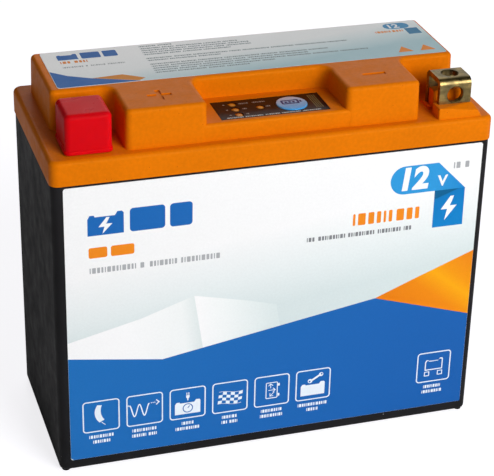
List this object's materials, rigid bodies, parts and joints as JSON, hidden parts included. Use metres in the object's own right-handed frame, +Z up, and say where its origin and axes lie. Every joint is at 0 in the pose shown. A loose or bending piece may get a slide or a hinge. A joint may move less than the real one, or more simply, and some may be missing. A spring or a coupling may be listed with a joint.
{
  "type": "motorcycle battery",
  "caption": "Upright lithium battery: black textured container, raised orange lid, bolt terminals at both front corners, one under a slip-on cap, and a charge indicator with a test button.",
  "frame": {"origin": "middle of the base, on the surface it stands on", "axes": "+Z up, +X along the length towards the negative terminal, -Y is the labelled front"},
  "size_m": [0.15, 0.065, 0.13],
  "materials": {
    "case_plastic": "fine sparked texture",
    "lid_plastic": "satin moulding with a fine texture",
    "sealant": "smooth",
    "front_label_film": "printed film, semi-gloss",
    "top_label_film": "printed film, semi-gloss",
    "terminal_brass": "bright, lightly tarnished",
    "seal_rubber": "moulded",
    "cap_plastic": "glossy soft PVC",
    "overlay_film": "printed film, gloss",
    "button_plastic": "glossy dome",
    "switch_plastic": "moulded",
    "board_laminate": "solder-masked laminate",
    "amber_lens": "tinted lens, unlit",
    "screw_steel": "zinc plated",
    "holder_plastic": "moulded",
    "wire_insulation": "smooth",
    "insulating_board": "pressed insulating board",
    "component_plastic": "moulded",
    "lead_copper": "bare copper strip",
    "foam": "closed-cell foam",
    "cell_can": "shrink sleeve over a metal can",
    "nickel": "nickel strip"
  },
  "bodies": {
    "battery": {"case": "case_plastic", "lid": "lid_plastic", "lid_seal": "sealant", "front_label": "front_label_film", "top_label": "top_label_film", "positive_terminal": "terminal_brass", "negative_terminal": "terminal_brass", "positive_terminal_seal": "seal_rubber", "negative_terminal_seal": "seal_rubber", "indicator_overlay": "overlay_film", "test_switch_body": "switch_plastic", "indicator_board": "board_laminate", "indicator_leds": "amber_lens", "indicator_screws": "screw_steel", "lower_cell_holder": "holder_plastic", "upper_cell_holder": "holder_plastic", "sense_wires": "wire_insulation", "insulating_sheet": "insulating_board", "balance_board": "board_laminate", "balance_screws": "screw_steel", "balance_resistors": "component_plastic", "balance_chip": "component_plastic", "indicator_connector": "switch_plastic", "indicator_ribbon": "wire_insulation", "positive_lead": "lead_copper", "negative_lead": "lead_copper", "base_foam": "foam", "left_foam": "foam", "right_foam": "foam", "cell_1": "cell_can", "cell_2": "cell_can", "cell_3": "cell_can", "cell_4": "cell_can", "cell_5": "cell_can", "cell_6": "cell_can", "cell_7": "cell_can", "cell_8": "cell_can", "busbar_1": "nickel", "busbar_2": "nickel", "busbar_3": "nickel", "busbar_4": "nickel", "busbar_5": "nickel"},
    "test_button": {"test_button": "button_plastic", "test_switch_plunger": "switch_plastic"},
    "positive_cap": {"positive_terminal_cap": "cap_plastic"}
  },
  "joints": [
    {"name": "test_button_press", "type": "slide", "parent": "battery", "child": "test_button", "axis": [0, 0, -1], "range_m": [0, 0.0005], "stiffness_N_per_m": 2000, "springref_m": -0.0002},
    {"name": "positive_cap_lift", "type": "slide", "parent": "battery", "child": "positive_cap", "axis": [0, 0, 1], "range_m": [0, 0.04]}
  ]
}
